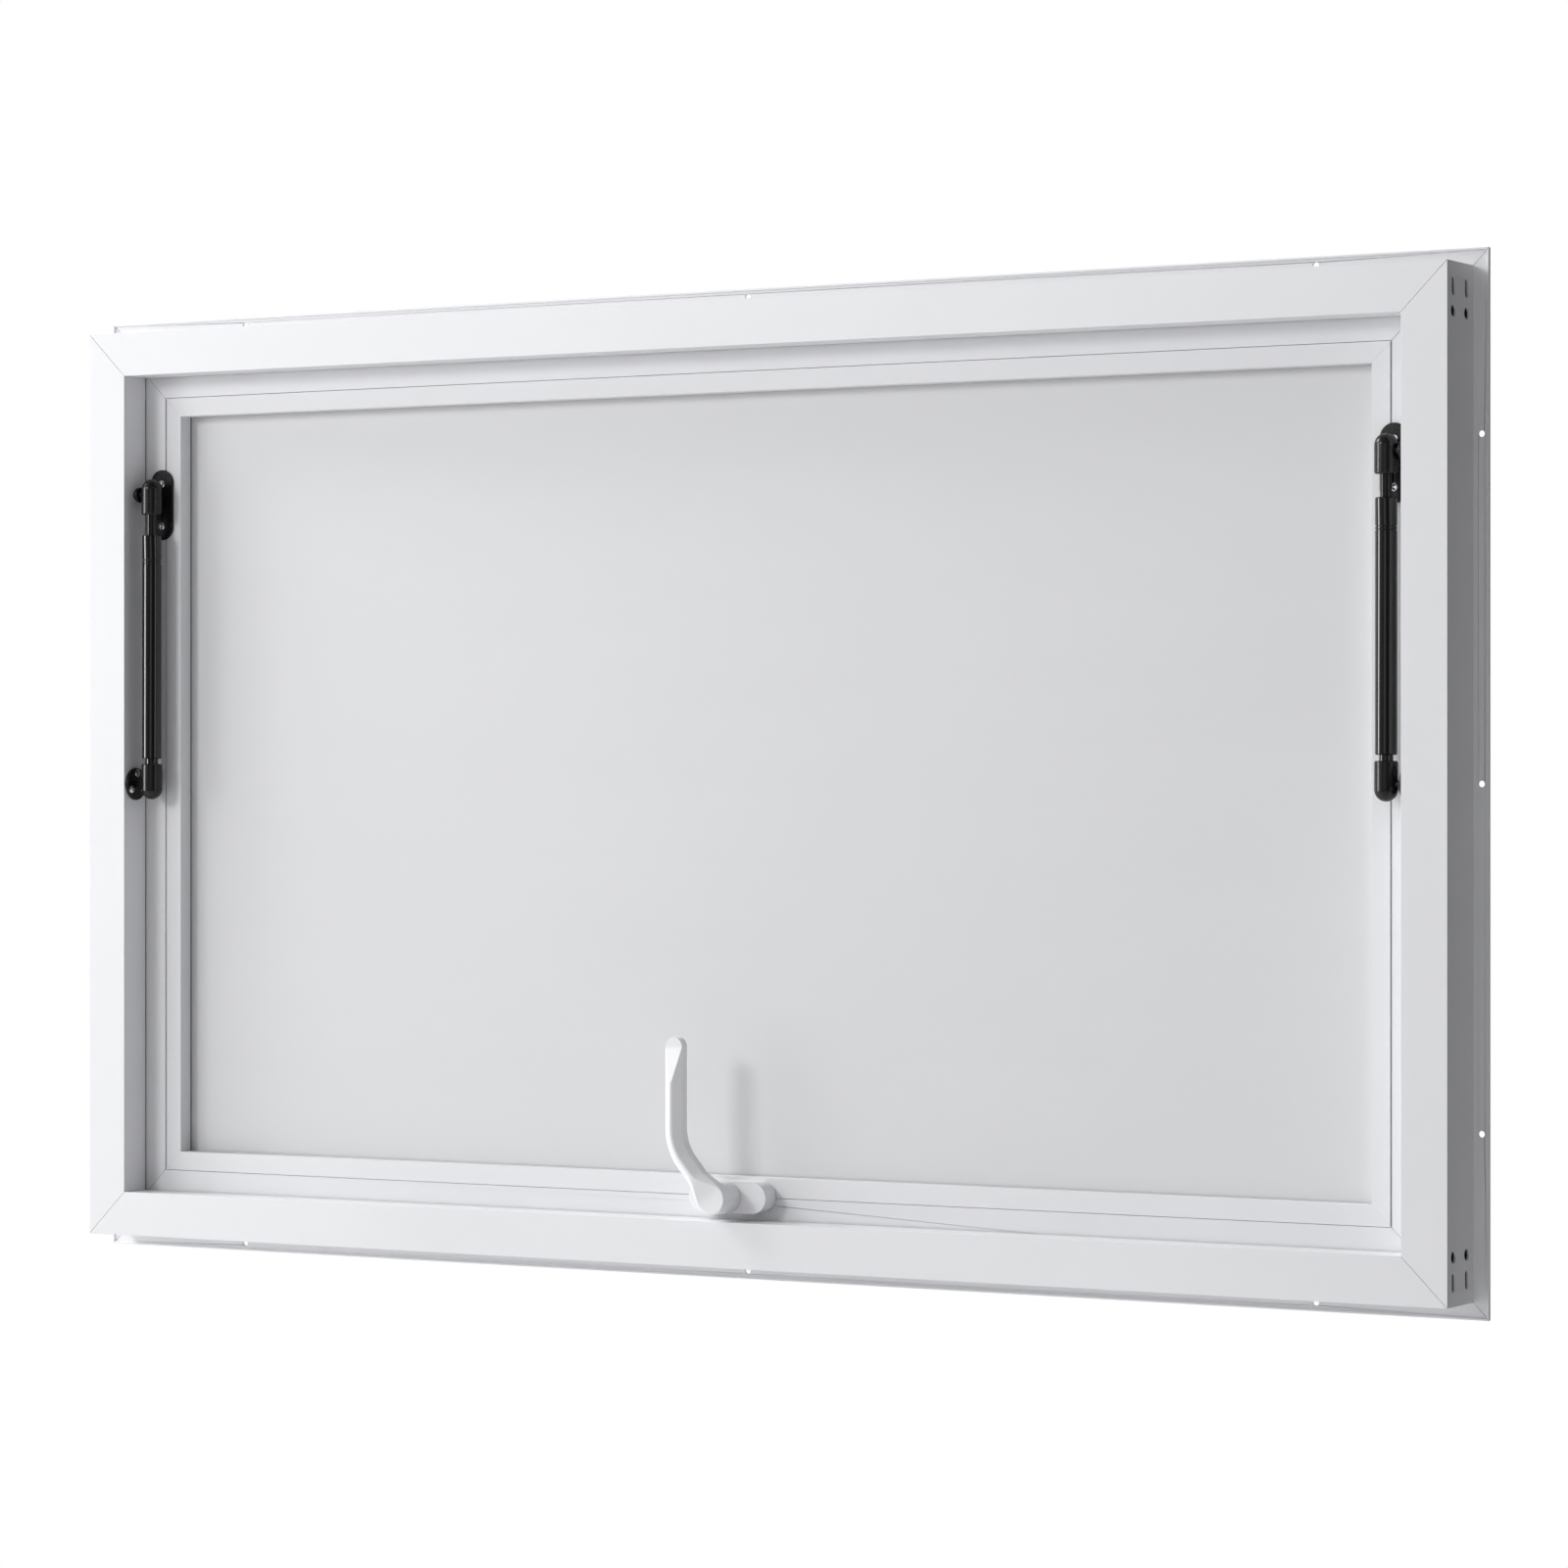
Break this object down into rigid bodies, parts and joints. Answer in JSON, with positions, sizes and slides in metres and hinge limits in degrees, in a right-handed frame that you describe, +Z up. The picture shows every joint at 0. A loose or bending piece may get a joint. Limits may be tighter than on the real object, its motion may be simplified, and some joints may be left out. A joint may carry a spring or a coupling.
{
  "type": "serving window hatch",
  "caption": "Top-hung aluminium serving-window hatch: mitred flanged frame, solid panel sash, gas struts and a cranked lever handle.",
  "frame": {"origin": "middle of the window, in the plane of the flange's indoor face, at the centre of the flange screw pattern", "axes": "+X to the right seen from indoors, +Y outdoors, +Z up"},
  "size_m": [1.385, 0.084, 0.866],
  "materials": {
    "frame_white": "white powder coat, satin",
    "sash_white": "white powder coat, satin",
    "panel_white": "coil-coated light grey white, semi-matt",
    "panel_core": "extruded black core",
    "seal_rubber": "black extruded seal, matt",
    "mill_aluminium": "mill finish",
    "hinge_white": "white powder coat, satin",
    "handle_white": "white powder coat on a casting, satin",
    "bright_steel": "bright zinc plate",
    "plated_steel": "dull zinc plate",
    "socket_black": "moulded, semi-gloss",
    "tube_black": "gloss black stove enamel",
    "rod_black": "polished black nitrided steel",
    "bracket_black": "black powder coat",
    "stud_black": "black oxide steel"
  },
  "bodies": {
    "frame": {"frame_head": "frame_white", "frame_sill": "frame_white", "frame_jamb_left": "frame_white", "frame_jamb_right": "frame_white", "front_corner_keys": "mill_aluminium", "rear_corner_keys": "mill_aluminium", "frame_gasket": "seal_rubber", "hinge_frame_leaf": "hinge_white", "hinge_pin": "bright_steel", "hinge_frame_screws": "bright_steel", "left_lower_bracket": "bracket_black", "right_lower_bracket": "bracket_black", "lower_bracket_screws": "bright_steel", "lock_keepers": "plated_steel", "keeper_screws": "bright_steel"},
    "sash": {"sash_top_rail": "sash_white", "sash_bottom_rail": "sash_white", "sash_left_stile": "sash_white", "sash_right_stile": "sash_white", "sash_corner_keys": "mill_aluminium", "bead_top": "sash_white", "bead_bottom": "sash_white", "bead_left": "sash_white", "bead_right": "sash_white", "panel_inner_skin": "panel_white", "panel_core": "panel_core", "panel_outer_skin": "panel_white", "panel_gasket": "seal_rubber", "panel_tape": "seal_rubber", "hinge_sash_leaf": "hinge_white", "hinge_sash_screws": "bright_steel", "left_upper_bracket": "bracket_black", "right_upper_bracket": "bracket_black", "upper_bracket_screws": "bright_steel", "upper_ball_studs": "stud_black", "handle_base": "handle_white", "handle_backplate": "plated_steel", "handle_screws": "bright_steel"},
    "handle": {"handle_lever": "handle_white", "handle_crank": "bright_steel"},
    "lock_drive": {"fork_slide": "plated_steel", "drive_bar": "plated_steel", "lock_pins": "bright_steel"},
    "left_rod": {"left_strut_rod": "rod_black", "left_strut_piston": "mill_aluminium", "left_upper_socket": "socket_black"},
    "left_tube": {"left_strut_tube": "tube_black", "left_strut_gland": "tube_black", "left_lower_socket": "socket_black", "left_lower_stud": "stud_black"},
    "right_rod": {"right_strut_rod": "rod_black", "right_strut_piston": "mill_aluminium", "right_upper_socket": "socket_black"},
    "right_tube": {"right_strut_tube": "tube_black", "right_strut_gland": "tube_black", "right_lower_socket": "socket_black", "right_lower_stud": "stud_black"}
  },
  "joints": [
    {"name": "sash_swing", "type": "hinge", "parent": "frame", "child": "sash", "pos_m": [0, 0.0053, 0.40035], "axis": [1, 0, 0], "range_deg": [0, 85]},
    {"name": "handle_turn", "type": "hinge", "parent": "sash", "child": "handle", "pos_m": [0.0024, -0.0552, -0.3585], "axis": [0, 1, 0], "range_deg": [0, 90]},
    {"name": "lock_slide", "type": "slide", "parent": "sash", "child": "lock_drive", "axis": [1, 0, 0], "range_m": [-0.0099, 0]},
    {"name": "left_strut_swing", "type": "hinge", "parent": "sash", "child": "left_rod", "pos_m": [-0.6189, -0.0387, 0.269], "axis": [1, 0, 0], "range_deg": [-111.5, 0]},
    {"name": "left_strut_extend", "type": "slide", "parent": "left_rod", "child": "left_tube", "axis": [0, 0, -1], "range_m": [0, 0.1163]},
    {"name": "right_strut_swing", "type": "hinge", "parent": "sash", "child": "right_rod", "pos_m": [0.6189, -0.0387, 0.269], "axis": [1, 0, 0], "range_deg": [-111.5, 0]},
    {"name": "right_strut_extend", "type": "slide", "parent": "right_rod", "child": "right_tube", "axis": [0, 0, -1], "range_m": [0, 0.1163]}
  ],
  "couplings": [
    {"joint": "lock_slide", "follows": "handle_turn", "m_per_rad": -0.0063022},
    {"joint": "left_strut_swing", "follows": "sash_swing", "ratio": -1.3102},
    {"joint": "left_strut_extend", "follows": "sash_swing", "m_per_rad": 0.078274},
    {"joint": "right_strut_swing", "follows": "sash_swing", "ratio": -1.3102},
    {"joint": "right_strut_extend", "follows": "sash_swing", "m_per_rad": 0.078274}
  ]
}
